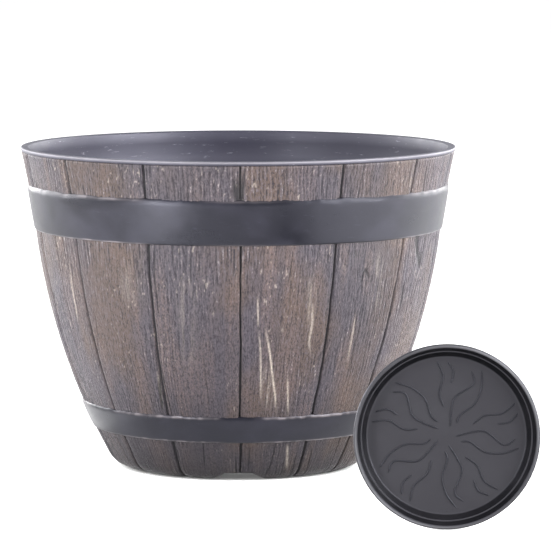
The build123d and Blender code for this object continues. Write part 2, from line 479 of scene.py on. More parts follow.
def jointDistance(azimuth, z, radius):
    # The distance to the nearest joint. A joint's line is its place round the pot, a lean that grows with
    # the height, and a slow and a quick wander.
    s = staveShape
    nearest = np.full(azimuth.shape, 1.0)
    for number, shift in enumerate(s["shifts"]):
        base = radians(s["turn"] + shift) + number * stavePitch
        lean = radians(s["leans"][number]) * (z / s["leanMiddle"] - 1)
        fixed = np.full(z.shape, base)
        wander = woodValue("slowWander", fixed, z, number) - 0.5
        wander += 0.5 * (woodValue("quickWander", fixed, z, number) - 0.5)
        line = base + lean + s["jointWander"] * 2 * wander / radius
        nearest = np.minimum(nearest, np.abs(turnBetween(azimuth, line)) * radius)
    return nearest


def longCracks(azimuth, z, radius):
    # The listed cracks. Each is deepest on a wandering line, falls off in a smooth step to its half width,
    # and fades out at both ends.
    s = staveShape
    cracks = np.zeros(azimuth.shape)
    for turn, low, high, half, depth in staveCracks:
        fixed = np.full(azimuth.shape, radians(turn))
        centre = fixed + s["crackWander"] * 2 * (woodValue("crackLine", fixed, z) - 0.5) / radius
        aside = np.abs(turnBetween(azimuth, centre)) * radius
        ends = smooth(low, low + s["crackEnd"], z) * (1 - smooth(high - s["crackEnd"], high, z))
        cracks = np.maximum(cracks, ends * (1 - smooth(0.2, 1.0, aside / half)) * depth / s["crackFull"])
    return cracks


def paleStreaks(grainTurn, z, radius):
    # The listed streaks. Each is a bell in shape across a slanting line and fades in and out at its ends.
    pale = np.zeros(z.shape)
    for footTurn, topTurn, low, high, half, strength in stavePales:
        turn = footTurn + (topTurn - footTurn) * (z - low) / (high - low)
        aside = np.abs(turnBetween(grainTurn, np.radians(turn))) * radius
        fade = stavePaint["streakFade"] * (high - low)
        ends = smooth(low, low + fade, z) * (1 - smooth(high - fade, high, z))
        broken = 1 if half < stavePaint["broadStreak"] else woodPatch("rubbed", grainTurn, z)
        pale = np.maximum(pale, strength * ends * broken * np.exp(-((aside / half) ** 2)))
    return pale


def staveLevels(azimuth):
    # How far each stave stands in from the plain outside, with its own tilt, and its own tone.
    s = staveShape
    share = (azimuth - radians(s["turn"])) / stavePitch
    number = np.floor(share).astype(int) % s["count"]
    rng = np.random.default_rng(5)
    level, tilt, tone = rng.random(s["count"]), rng.random(s["count"]) - 0.5, rng.random(s["count"])
    stand = s["levelSpread"] * (level[number] - 1 + tilt[number] * (share % 1 - 0.5) * 2)
    return stand, tone[number]


def staveRelief(azimuth, z, radius):
    # How far each point lies from the plain outside: the grain's ridges and the stave's own level, less
    # pits, cracks, worn edges and joints. The fields are what the colour reads.
    s, paint = staveShape, stavePaint
    grainTurn = grainTurns(azimuth, z, radius)
    broad = woodValue("broad", grainTurn, z)
    grain = strandDetail("grain", grainTurn, z)
    fine = strandDetail("fine", grainTurn, z)
    fleck = woodValue("fleck", grainTurn, z)
    ridge = sum(share * part for share, part in zip(s["ridgeShares"], (broad, grain, fine, fleck)))
    strength = liftedTo(s["faintGrain"], woodPatch("strong", azimuth, z))
    strength = strength * liftedTo(s["footGrain"], smooth(*s["footSpan"], z))
    ridge = 0.5 + (ridge - 0.5) * strength
    pits = smooth(*s["pitSpan"], fleck) * woodPatch("pit", azimuth, z)

    wavy = np.abs(woodValue("crack", grainTurn, z) - 0.5)
    crack = (1 - smooth(*s["crackSpan"], wavy)) * woodPatch("crack", azimuth, z)
    crack = np.maximum(crack, longCracks(azimuth, z, radius))

    aside = jointDistance(azimuth, z, radius)
    width = s["jointWidth"] * (1 + s["jointSpread"] * (woodValue("jointWidth", azimuth, z) - 0.5))
    joint = 1 - smooth(0.25, 1.0, aside / width)
    worn = np.exp(-((aside / s["shoulderReach"]) ** 2))
    stand, tone = staveLevels(azimuth)

    relief = s["grainDepth"] * (ridge - s["grainLevel"]) - s["pitDepth"] * pits + stand
    relief -= s["crackDepth"] * crack
    relief -= s["shoulderDrop"] * worn
    relief -= s["jointDepth"] * joint

    tan = woodPatch("tan", grainTurn, z) * liftedTo(paint["tanLeast"], woodPatch("tanCloud", azimuth, z))
    curls = paint["curlShare"] * woodPatch("curl", grainTurn, z)
    curls = curls * liftedTo(paint["curlLeast"], woodPatch("curlCloud", azimuth, z))
    pale = paleStreaks(grainTurn, z, radius) * liftedTo(paint["paleLeast"], fine)
    fields = {
        "ridge": ridge,
        "gap": np.maximum(joint, paint["crackShade"] * crack) + paint["pitShade"] * pits,
        "staveTone": tone + paint["broadTone"] * (broad - 0.5),
        "tanPaint": tan * liftedTo(paint["tanGrain"], grain),
        "palePaint": np.maximum(pale, curls),
    }
    return relief, {key: np.clip(field, 0, 1) for key, field in fields.items()}


# Materials.

def linear(red, green, blue):
    # A colour given as 0 to 255 display values, as the shader wants it.
    c = np.array([red, green, blue]) / 255
    c = np.where(c <= 0.04045, c / 12.92, ((c + 0.055) / 1.055) ** 2.4)
    return (float(c[0]), float(c[1]), float(c[2]), 1.0)


def newMaterial(name):
    # A material, its node tree and its main shader.
    material = bpy.data.materials.new(name)
    material.use_nodes = True
    return material, material.node_tree, material.node_tree.nodes["Principled BSDF"]


def fillInputs(tree, node, inputs):
    # Sets or links a node's inputs by name or number.
    for key, value in inputs.items():
        if isinstance(value, bpy.types.NodeSocket):
            tree.links.new(value, node.inputs[key])
        else:
            node.inputs[key].default_value = value


def addNode(tree, kind, inputs=None, **settings):
    # Makes a node, sets its properties and fills its inputs.
    node = tree.nodes.new(kind)
    for key, value in settings.items():
        setattr(node, key, value)
    fillInputs(tree, node, inputs or {})
    return node


def objectNoise(tree, scale, stretch=(1, 1, 1), detail=3.0, roughness=0.55, distortion=0.0):
    # Noise on object coordinates; a stretch below 1 draws it out along that direction.
    place = addNode(tree, "ShaderNodeTexCoord")
    stretched = addNode(tree, "ShaderNodeMapping", {"Vector": place.outputs["Object"], "Scale": stretch})
    noise = addNode(tree, "ShaderNodeTexNoise", {
        "Vector": stretched.outputs[0], "Scale": scale, "Detail": detail,
        "Roughness": roughness, "Distortion": distortion,
    })
    return noise.outputs[0]


def mapped(tree, value, fromLow, fromHigh, toLow, toHigh):
    # A value carried in a straight line from one span to another, and held at its ends.
    node = addNode(tree, "ShaderNodeMapRange", {
        "Value": value, "From Min": fromLow, "From Max": fromHigh, "To Min": toLow, "To Max": toHigh,
    })
    return node.outputs[0]


def mixColour(tree, factor, first, second, mode="MIX"):
    # The first colour at factor 0, and the second, or what the mode makes of both, at factor 1.
    node = addNode(tree, "ShaderNodeMix", {0: factor, 6: first, 7: second}, data_type="RGBA", blend_type=mode)
    return node.outputs[2]


def combine(tree, operation, first, second):
    # Two values added, multiplied or compared.
    return addNode(tree, "ShaderNodeMath", {0: first, 1: second}, operation=operation).outputs[0]


def attribute(tree, name):
    # A field that is stored on the mesh.
    return addNode(tree, "ShaderNodeAttribute", attribute_name=name).outputs["Fac"]


def bump(tree, height, strength, distance):
    # Surface normals tilted by the slope of a height.
    node = addNode(tree, "ShaderNodeBump", {"Height": height, "Strength": strength, "Distance": distance})
    return node.outputs[0]


woodFinish = {
    # furrow to tip: part paint wash, part painted shade in the furrows and painted highlight on the tips
    "furrow": (36, 33, 39),
    "greyBody": (64, 59, 66),
    "brownBody": (77, 64, 59),
    "ridge": (80, 74, 79),
    "tip": (152, 143, 144),
    "tan": (136, 112, 98),
    "pale": (204, 192, 180),
    "gap": (19, 18, 22),
    "fibre": (900, (1, 1, 0.05), 3, 0.6),  # noises: scale, stretch, detail and roughness
    "speck": (1000, (1, 1, 0.50), 2, 0.5),
    "cloud": (18, (1, 1, 0.55), 3, 0.55),
    "hue": (13, (1, 1, 0.45), 3, 0.6),
    "noiseSpan": (0.32, 0.68),  # the values of fibre and speck that count
    "fibreShare": 0.26,  # how far each shifts the relief that picks the colour
    "speckShare": 0.15,
    "hueSpan": (0.48, 0.64),  # from grey to brown
    "bodySpan": (0.16, 0.50),  # the relief over which each colour takes the place of the last
    "ridgeSpan": (0.50, 0.86),
    "tipSpan": (0.84, 1.12),
    "tipShare": 0.8,
    "tanShare": 0.28,
    "tanSpeck": (0.38, 0.62, 0.15, 1.0),  # speck values, and the share of the paint they leave
    "paleShare": 0.90,
    "paleSpeck": (0.40, 0.60, 0.6, 1.0),
    "staveTone": (0, 1, 0.92, 1.07),
    "cloudTone": (0.3, 0.7, 0.93, 1.07),
    "footPaintedShade": 0.36,  # share of its brightness that the wood keeps at the ground, as painted shade
    "footReach": 0.085,  # and the height from which it keeps all
    "roughness": (0.66, 0.44),  # in furrows and on ridges
    "specular": 0.34,
    "sheen": 0.22,
    "sheenRoughness": 0.22,
    "bump": (0.70, 0.0007),  # strength and depth
}


def weatheredWood():
    # The relief of the carving, roughened by fibres and specks, picks a colour from furrow to tip, part paint
    # wash and part painted shade in the furrows and painted highlight on the tips. Paint, tone, painted shade
    # towards the foot and the dark of the joints come over it.
    f = woodFinish
    material, tree, shader = newMaterial("weatheredStave")

    def paintOver(base, factor, share, name):
        return mixColour(tree, combine(tree, "MULTIPLY", factor, share), base, linear(*f[name]))

    def shift(noise, share):
        return mapped(tree, noise, *f["noiseSpan"], -share, share)

    ridge = attribute(tree, "ridge")
    fibre = objectNoise(tree, *f["fibre"])
    speck = objectNoise(tree, *f["speck"])
    cloud = objectNoise(tree, *f["cloud"])
    relief = combine(tree, "ADD", ridge, shift(fibre, f["fibreShare"]))
    relief = combine(tree, "ADD", relief, shift(speck, f["speckShare"]))
    hue = mapped(tree, objectNoise(tree, *f["hue"]), *f["hueSpan"], 0, 1)
    body = mixColour(tree, hue, linear(*f["greyBody"]), linear(*f["brownBody"]))
    # Painted shade in the furrows and painted highlight on the tips, over the paint wash.
    base = mixColour(tree, mapped(tree, relief, *f["bodySpan"], 0, 1), linear(*f["furrow"]), body)
    base = mixColour(tree, mapped(tree, relief, *f["ridgeSpan"], 0, 1), base, linear(*f["ridge"]))
    base = mixColour(tree, mapped(tree, relief, *f["tipSpan"], 0, f["tipShare"]), base, linear(*f["tip"]))
    tan = combine(tree, "MULTIPLY", attribute(tree, "tanPaint"), mapped(tree, speck, *f["tanSpeck"]))
    base = paintOver(base, tan, f["tanShare"], "tan")
    pale = combine(tree, "MULTIPLY", attribute(tree, "palePaint"), mapped(tree, speck, *f["paleSpeck"]))
    base = paintOver(base, pale, f["paleShare"], "pale")
    shade = mapped(tree, attribute(tree, "staveTone"), *f["staveTone"])
    # Painted shade: the wood darkens towards the ground, below footReach.
    place = addNode(tree, "ShaderNodeTexCoord").outputs["Object"]
    height = addNode(tree, "ShaderNodeSeparateXYZ", {0: place}).outputs[2]
    shade = combine(tree, "MULTIPLY", shade, mapped(tree, height, 0.0, f["footReach"], f["footPaintedShade"], 1.0))
    shade = combine(tree, "MULTIPLY", shade, mapped(tree, cloud, *f["cloudTone"]))
    base = mixColour(tree, 1.0, base, shade, "MULTIPLY")
    base = mixColour(tree, attribute(tree, "gap"), base, linear(*f["gap"]))
    fillInputs(tree, shader, {
        "Base Color": base,
        "Roughness": mapped(tree, relief, 0.2, 0.8, *f["roughness"]),
        "Specular IOR Level": f["specular"],
        "Sheen Weight": f["sheen"],
        "Sheen Roughness": f["sheenRoughness"],
        "Normal": bump(tree, combine(tree, "ADD", fibre, speck), *f["bump"]),
    })
    return material


plasticColours = {
    "shell": (38, 37, 48),
    "shellDust": (56, 55, 66),
    "shellWorn": (134, 133, 142),
    # a pale line along the lip's edge: part wear, part painted highlight
    "lipEdge": (138, 136, 143),
    "hoop": (12, 12, 19),
    "hoopDust": (46, 45, 56),
    # pale edge lines on the hoops: part wear, part painted highlight
    "hoopWornAndHighlight": (152, 144, 147),
    "saucer": (43, 42, 45),
    "saucerDust": (51, 51, 54),
    # painted shade on the saucer's steep walls, and on its ribs
    "saucerWallPaintedShade": (12, 12, 15),
    # a painted highlight along the lip's crest
    "saucerLipHighlight": (128, 128, 132),
    # the ribs, darkened as painted shade along them
    "rib": (40, 40, 44),
}

plasticFinish = {
    "gleam": (0.86, 0.86, 1.0, 1),  # tint of the reflections
    "cloud": (22, (1, 1, 1.6), 4, 0.6, 0.3),  # noises: scale, stretch, detail, roughness, distortion
    "grit": (1400, (1, 1, 1), 2, 0.5),
    "rubbed": (75, (1, 1, 6), 5, 0.7),
    "dust": (0.46, 0.74, 0, 0.40),  # cloud values, and the share of dust they bring
    "scuffs": (0.62, 0.72, 0, 0.6),
    "marks": (0.35, 0.65, 0.7, 1.0),
    "cloudRough": (-0.06, 0.08),
    "gritRough": (-0.03, 0.03),
    "dull": 0.05,  # what is left of the shine under a dull field
    "bump": (0.10, 0.0002),
}


def plasticColour(name):
    # A named colour of the plastics, as the shader wants it.
    return linear(*plasticColours[name])


def smoothPlastic(name, plain, dusty, roughness, scuffs=None, marks=(), shine=0.5, dull=None):
    # Moulded plastic: a plain colour with cloudy dust and faint rubbed lines, then the marks, each a field
    # and the colour it brings, which carry the painted highlights and painted shade; the dull field takes the
    # shine away.
    f = plasticFinish
    material, tree, shader = newMaterial(name)
    cloud = objectNoise(tree, *f["cloud"])
    grit = objectNoise(tree, *f["grit"])
    dust = mapped(tree, cloud, *f["dust"])
    colour = mixColour(tree, dust, plasticColour(plain), plasticColour(dusty))
    if scuffs:
        lines = mapped(tree, objectNoise(tree, *f["rubbed"]), *f["scuffs"])
        colour = mixColour(tree, lines, colour, plasticColour(scuffs))
    for field, mark in marks:
        worn = combine(tree, "MULTIPLY", attribute(tree, field), mapped(tree, cloud, *f["marks"]))
        colour = mixColour(tree, worn, colour, plasticColour(mark))
    smoother, rougher = (roughness + shift for shift in f["cloudRough"])
    rough = combine(tree, "ADD", mapped(tree, cloud, 0.3, 0.7, smoother, rougher),
                    mapped(tree, grit, 0.3, 0.7, *f["gritRough"]))
    fillInputs(tree, shader, {
        "Base Color": colour,
        "Roughness": rough,
        "Specular IOR Level": mapped(tree, attribute(tree, dull), 0, 1, shine, f["dull"]) if dull else shine,
        "Specular Tint": f["gleam"],
        "Normal": bump(tree, grit, *f["bump"]),
    })
    return material


woodMaterial = weatheredWood()
# The lip's and the hoops' edge lines are part wear and part painted highlight; the saucer's walls carry
# painted shade and its lip a painted highlight.
shellMaterial = smoothPlastic("shellPlastic", "shell", "shellDust", 0.48, "shellWorn",
                              [("edgeWearAndHighlight", "lipEdge")], 0.5, "edgeWearAndHighlight")
hoopMaterial = smoothPlastic("hoopPlastic", "hoop", "hoopDust", 0.33, "hoopDust",
                             [("edgeWearAndHighlight", "hoopWornAndHighlight")], 0.5, "shoulder")
saucerMaterial = smoothPlastic("saucerPlastic", "saucer", "saucerDust", 0.36, None,
                               [("wallShade", "saucerWallPaintedShade"), ("lipShine", "saucerLipHighlight")], 0.36, "wallShade")
# The ribs' clouds darken them towards the painted wall shade, as painted shade along the ribs.
ribMaterial = smoothPlastic("ribPlastic", "rib", "saucerWallPaintedShade", 0.50, shine=0.20)
print("materials made")


# The pot's smooth core: inside, lip, floor and foot.

drainShape = {
    "count": 6,
    "radius": 0.005,
    "circle": 0.0525,  # radius of the circle on which they stand
    "topFlare": 0.0014,  # how much wider a drain opens at the top and underneath
    "lowFlare": 0.0012,
    "topRun": (0.0009, 0.0008),  # the flare's reach inside the floor and past it
    "lowRun": (0.0006, 0.0010),
    "rounds": [0.0004, 0.0005],
    "columns": 48,
}

plateShape = {"hub": 0.006, "rows": 16, "columns": 240}


def coreProfile():
    # One closed section line: out under the foot, up behind the wood, over the lip, down the inside,
    # through the trough, up the riser to the raised floor's edge and down again on its underside.
    s, lip = potShape, lipShape
    depth, wall, floor, gap = s["skinDepth"], s["wall"], s["floorHeight"], s["gap"]
    footInside = cornerX - s["footWidth"]
    footOutside = cornerX - s["footIn"]
    recess = footInside - s["recessDraft"]
    riser = recess + wall
    floorEdge = riser - s["floorEdge"]
    below = roundedLine(
        [(floorEdge, floor), (recess - gap, floor), (footInside, gap), (footOutside, gap),
         (footOutside + gap, depth)],
        s["footRounds"],
        4,
    )[1:]
    behind = np.concatenate([cornerArc(depth, 8), sideLine(depth, lip["low"] - lip["tuck"], 30)])
    top, rim = s["height"], s["rimRadius"] - lip["setIn"]
    inside = rim - lip["width"]
    lipLow = top - lip["depth"]
    fairLow = lipLow - lip["fairing"]
    lipLine = roundedLine(
        [
            behind[-1],
            (float(wallRadius(lip["low"])) - lip["setIn"], lip["low"]),
            (rim, top),
            (inside, top),
            (float(wallRadius(lipLow)) - lip["width"], lipLow),
            (float(wallRadius(fairLow, wall)), fairLow),
        ],
        [lip["edgeRound"], lip["outerRound"], lip["innerRound"], lip["fairRound"]],
        8,
    )
    insideWall = np.concatenate([cornerArc(wall, 10), sideLine(wall, fairLow - lip["fairGap"], 34)])[::-1]
    floorLine = roundedLine(
        [(cornerX - s["troughIn"], wall), (riser + s["recessDraft"], wall), (riser, floor + wall),
         (floorEdge - s["floorLap"], floor + wall)],
        [s["troughRound"], s["floorEdge"]],
        6,
    )[:-1]
    section = np.concatenate([below, behind, lipLine[1:], insideWall, floorLine])
    return divided(section, s["longestRun"]), floorEdge


def drainCutter(number):
    # A turned plug: the drain's radius in the middle, flared towards the floor's top and underside.
    s = drainShape
    radius = s["radius"]
    low, high = potShape["floorHeight"], potShape["floorHeight"] + potShape["wall"]
    below, above = low - s["lowRun"][1], high + s["topRun"][1]
    profile = roundedLine(
        [
            (radius + s["lowFlare"], below), (radius, low + s["lowRun"][0]),
            (radius, high - s["topRun"][0]), (radius + s["topFlare"], above),
        ],
        s["rounds"],
    )
    a = fullTurn(s["columns"])
    turn = number / s["count"] * 2 * pi
    centre = ringPoint(s["circle"], turn, 0)
    points = ringPoint(profile[:, :1], a[None], profile[:, 1:]) + centre
    poles = (centre + [0, 0, below], centre + [0, 0, above])
    return gridMesh("drainCutter", points, poles=poles)


def makeCore():
    # The section turned round the axis. What is low under a notch is lifted onto its arch.
    profile, floorEdge = coreProfile()
    azimuth = fullTurn(potShape["columns"])
    points = ringPoint(profile[:, :1], azimuth[None], profile[:, 1:])
    turnRow = int(np.argmax(profile[:, 1]))  # the lip's top parts outside from inside
    wall, rim, low = potShape["wall"], potShape["rimRadius"], lipShape["low"]
    # A pale line along the lip's outer edge: part wear, part painted highlight.
    edge = smooth(*(rim - back for back in lipShape["wearAndHighlightIn"]), profile[:, 0])
    wearAndHighlight = edge * smooth(*(low + up for up in lipShape["wearAndHighlightUp"]), profile[:, 1])
    outside = archLift(points[:turnRow], notchShape["coreLift"])
    inside = archLift(points[turnRow:], wall, wall)
    fields = {"edgeWearAndHighlight": np.broadcast_to(wearAndHighlight[:, None], points.shape[:2])}
    mesh = gridMesh("pot_core", np.concatenate([outside, inside]), closeRows=True, fields=fields)
    return mesh, floorEdge


def makeFloorPlate(radius):
    # The raised floor inside the riser: a flat turned plate, less the drains.
    s = plateShape
    low, high = potShape["floorHeight"], potShape["floorHeight"] + potShape["wall"]
    r = np.concatenate([np.linspace(s["hub"], radius, s["rows"]), np.linspace(radius, s["hub"], s["rows"])])
    z = np.repeat([low, high], s["rows"])
    azimuth = fullTurn(s["columns"])
    points = ringPoint(r[:, None], azimuth[None], z[:, None])
    mesh = gridMesh("pot_floor", points, poles=((0, 0, low), (0, 0, high)))
    plate = newObject("plateBlank", mesh)
    cutters = bpy.data.collections.new("drainCutters")
    bpy.context.scene.collection.children.link(cutters)
    for number in range(drainShape["count"]):
        cutter = bpy.data.objects.new(f"drainCutter{number}", drainCutter(number))
        cutters.objects.link(cutter)
    cut = plate.modifiers.new("drains", "BOOLEAN")
    cut.operand_type = "COLLECTION"
    cut.collection = cutters
    cut.operation = "DIFFERENCE"
    cut.solver = "EXACT"
    bpy.context.view_layer.update()
    evaluated = plate.evaluated_get(bpy.context.evaluated_depsgraph_get())
    finished = bpy.data.meshes.new_from_object(evaluated)
    for used in list(cutters.objects) + [plate]:
        bpy.data.objects.remove(used)
    bpy.data.collections.remove(cutters)
    return finished


coreMesh, floorEdge = makeCore()
addPiece("pot_core", coreMesh, "pot", ["pot_shell"], shellMaterial, 50)
addPiece("pot_floor", makeFloorPlate(floorEdge), "pot", ["pot_shell"], shellMaterial, 30)


# Hoops, which the wood runs in under.

hoopShape = {
    "upperLow": 0.2086,
    "upperHigh": 0.2480,
    "lowerLow": 0.0351,
    "lowerHigh": 0.0593,
    "proud": 0.0010,
    "crown": 0.0004,
    "topRound": 0.0062,  # height of the rounded upper shoulder
    "topDrop": 0.0026,  # how far it falls back, in under the wood
    "fullHalf": 0.016,  # half the height from which the shoulder is full
    "lowRound": 0.0018,
    "lowDrop": 0.0015,
    "sunk": 0.0018,
    "unevenness": 0.00016,
    "edgeLumps": 0.0009,
    "lumpsOut": 0.45,  # the share of the lumps that stands out instead of up
    "lumpsBelow": 0.35,  # and the share at the lower edge
    "upperSpan": (0.006, 0.0005),  # below the top: where the lumps begin and are full
    "lowerSpan": (0.0003, 0.002),  # above the lower edge: where they are full and end
    "topWearAndHighlight": 0.50,  # how far the edges are rubbed pale and given a painted highlight
    "topLine": (0.0017, 0.0011),  # the pale line's distance from its edge and its width; the line is part wear, part painted highlight
    "lowWearAndHighlight": 0.80,
    "lowLine": (0.0006, 0.0006),
    "wearAndHighlightLeast": 0.35,
    "shoulderDull": 0.70,
    "columns": 840,
    "faceRows": 16,
    "backRows": 8,
}

# Noise on a hoop: width and length of a strand, and what it adds to the hoop's seed.
hoopNoise = {
    "slow": (0.045, 0.018, 0),
    "quick": (0.018, 0.010, 1),
    "lumps": (0.011, 0.02, 2),
    "smallLumps": (0.0042, 0.02, 3),
    "rubbed": (0.0060, 0.02, 4),
    "rubbedLong": (0.06, 0.02, 5),
}


def hoopBand(name, low, high, seed):
    # A band round the barrel. Its face stands out by proud plus a crown that falls off as a parabola, and
    # falls back along a quarter of an ellipse at both edges; slow noise makes it uneven and its edges lumpy.
    s = hoopShape
    middle, half = (low + high) / 2, (high - low) / 2
    top, foot = s["topRound"] * min(1, half / s["fullHalf"]), s["lowRound"]
    quarter = np.linspace(0, pi / 2, 10)
    faceZ = np.concatenate([
        low + foot * (1 - np.cos(quarter))[:-1] * 0.999,
        np.linspace(low + foot, high - top, s["faceRows"]),
        (high - top + top * np.sin(quarter))[1:],
    ])
    drop = np.clip((low + foot - faceZ) / foot, 0, 1) ** 2
    drop = 1 - np.sqrt(np.clip(1 - drop, 0, 1))
    rise = np.clip((faceZ - (high - top)) / top, 0, 1) ** 2
    rise = 1 - np.sqrt(np.clip(1 - rise, 0, 1))
    crown = s["crown"] * (1 - ((faceZ - middle) / half) ** 2)
    out = s["proud"] + crown - s["lowDrop"] * drop - s["topDrop"] * rise
    backZ = np.linspace(high, low, s["backRows"])
    section = np.concatenate([
        np.stack([wallRadius(faceZ) + out, faceZ], 1),
        np.stack([wallRadius(backZ) - s["sunk"], backZ], 1),
    ])
    azimuth = fullTurn(s["columns"])
    a, z = np.broadcast_arrays(azimuth[None], section[:, 1:])
    level = np.zeros(a.shape)
    outer = (np.arange(len(section)) < len(faceZ)).astype(float)[:, None]

    def noise(key, along):
        across, length, extra = hoopNoise[key]
        return ringNoise(a, along, across, length, seed + extra)

    def wearAndHighlightLine(height, width):
        return np.exp(-(((z - height) / width) ** 2))

    slow = noise("slow", z) - 0.5 + 0.5 * (noise("quick", z) - 0.5)
    upper = smooth(*(high - down for down in s["upperSpan"]), z)
    lower = 1 - smooth(*(low + up for up in s["lowerSpan"]), z)
    wave = noise("lumps", level) - 0.5 + 0.6 * (noise("smallLumps", level) - 0.5)
    off = outer * (s["unevenness"] * 2 * slow + s["lumpsOut"] * s["edgeLumps"] * upper * wave)
    up = s["edgeLumps"] * wave * (upper + s["lumpsBelow"] * lower)
    points = ringPoint(section[:, :1] + off, azimuth[None], section[:, 1:] + up)
    # Broken pale lines along both edges: part wear, part painted highlight on the edges' rounds.
    broken = liftedTo(s["wearAndHighlightLeast"], smooth(0.30, 0.65, noise("rubbed", level)))
    broken = broken * smooth(0.15, 0.60, noise("rubbedLong", level))
    topLine = wearAndHighlightLine(high - s["topLine"][0], s["topLine"][1])
    lowLine = wearAndHighlightLine(low + s["lowLine"][0], s["lowLine"][1])
    rubbed = outer * broken * (s["topWearAndHighlight"] * topLine + s["lowWearAndHighlight"] * lowLine)
    shoulderDull = s["shoulderDull"] * outer * smooth(high - top, high - 0.3 * top, z)
    fields = {"edgeWearAndHighlight": np.clip(rubbed, 0, 1), "shoulder": shoulderDull}
    return gridMesh(name, points, closeRows=True, fields=fields)


# The wood surface, as closed skins over the core.

skinShape = {
    "step": 0.00155,  # between two rows of a skin
    "edgeStep": 0.0013,  # and of the two short skins
    "hiddenRun": 0.003,  # how far a skin runs on under a hoop
    "overLip": 0.0002,  # how far the top one passes the lip's lower edge
    "underFoot": 0.003,  # how far the outside is drawn in under the foot, and in how many rows
    "underRows": 19,
    "seam": 193,  # azimuth in degrees of the seam of a skin that goes all the way round
    "tuckReach": 0.0011,
    "deepest": 0.9,  # these three are shares of the core's skinDepth
    "tuckDepth": 1.1,
    "backDepth": 1.35,
    "backRows": 9,
    "backGround": 0.0006,
}


def outsideLine():
    # The outside in section, from a little way under the foot to the lip: length along it, point and normal.
    under = np.linspace(cornerX - skinShape["underFoot"], cornerX, skinShape["underRows"] + 1)[:-1]
    flat = np.stack([under, np.zeros(len(under))], 1)
    line = np.concatenate([flat, cornerArc(0, 120), sideLine(0, potShape["height"], 1500)])
    place = np.concatenate([[0], np.cumsum(np.linalg.norm(np.diff(line, axis=0), axis=1))])
    along = np.gradient(line, place, axis=0)
    along /= np.linalg.norm(along, axis=1)[:, None]
    return place, line, np.stack([along[:, 1], -along[:, 0]], 1)


outPlace, outLine, outNormal = outsideLine()


def outsideAt(place):
    # The point and the outward normal of the outside at lengths along its section.
    read = [np.interp(place, outPlace, column) for column in (*outLine.T, *outNormal.T)]
    return np.stack(read[:2], -1), np.stack(read[2:], -1)


def placeAt(z):
    # The length along the outside's section at which it has risen to a height.
    rows = slice(skinShape["underRows"], None)
    return float(np.interp(z, outLine[rows, 1], outPlace[rows]))


def skinAzimuths(firstJoint, lastJoint):
    # The columns of a skin: all the way round from the seam, or from one joint between staves to another.
    count = staveShape["columns"]
    if firstJoint is None:
        return fullTurn(count) + radians(skinShape["seam"])
    joints = [radians(staveShape["turn"] + staveShape["shifts"][k % staveShape["count"]]) + k * stavePitch
              for k in (firstJoint, lastJoint)]
    steps = int(round((joints[1] - joints[0]) / (2 * pi) * count))
    return np.linspace(*joints, steps + 1)


def staveSkin(name, low, high, firstJoint=None, lastJoint=None, tuck=(0.0, 0.0), step=skinShape["step"]):
    # A closed skin between two lengths along the section: the outside moved along its normal by the
    # relief, and a plain face behind it. Where the skin is tucked its edge curls in behind the outside.
    s, depth = skinShape, potShape["skinDepth"]
    place = np.linspace(low, high, int(round((high - low) / step)) + 1)
    azimuth = skinAzimuths(firstJoint, lastJoint)
    point, normal = outsideAt(place)
    turns, heights, radius = np.broadcast_arrays(azimuth[None], point[:, 1:], point[:, :1])
    relief, fields = staveRelief(turns, heights, radius)
    lowCurl, highCurl = (1 - smooth(0, s["tuckReach"], run) for run in (place - low, high - place))
    curl = (lowCurl * tuck[0] + highCurl * tuck[1])[:, None]
    relief = np.maximum(relief, -s["deepest"] * depth) * (1 - curl) - s["tuckDepth"] * depth * curl
    face = ringPoint(point[:, :1] + relief * normal[:, :1], azimuth[None],
                     point[:, 1:] + relief * normal[:, 1:])
    face[..., 2] = np.clip(face[..., 2], 0, None)
    backPoint, backNormal = outsideAt(np.linspace(high, low, s["backRows"]))
    back = backPoint - s["backDepth"] * depth * backNormal
    behind = ringPoint(back[:, :1], azimuth[None], np.clip(back[:, 1:], s["backGround"], None))
    face, behind = archLift(face), archLift(behind, notchShape["backLift"])
    plain = np.zeros(behind.shape[:2])
    fields = {key: np.concatenate([field, plain]) for key, field in fields.items()}
    mesh = gridMesh(name, np.concatenate([face, behind]), closeColumns=firstJoint is None,
                    closeRows=True, fields=fields)
    addPiece(name, mesh, "pot", ["pot_shell"], woodMaterial)


run, edgeStep = skinShape["hiddenRun"], skinShape["edgeStep"]
topLow, topHigh = placeAt(hoopShape["upperHigh"] - run), placeAt(lipShape["low"] + skinShape["overLip"])
middleLow, middleHigh = placeAt(hoopShape["lowerHigh"] - run), placeAt(hoopShape["upperLow"] + run)
staveSkin("staves_top", topLow, topHigh, tuck=(0.0, 1.0), step=edgeStep)
staveSkin("staves_front", middleLow, middleHigh, -4, 3)
staveSkin("staves_rear", middleLow, middleHigh, 3, 10)
staveSkin("staves_foot", 0.0, placeAt(hoopShape["lowerLow"] + run), step=edgeStep)

for side, seed in (("upper", 70), ("lower", 80)):
    band = hoopBand("hoop_" + side, hoopShape[side + "Low"], hoopShape[side + "High"], seed)
    addPiece("hoop_" + side, band, "pot", [side + "_hoop"], hoopMaterial)


# Saucer.

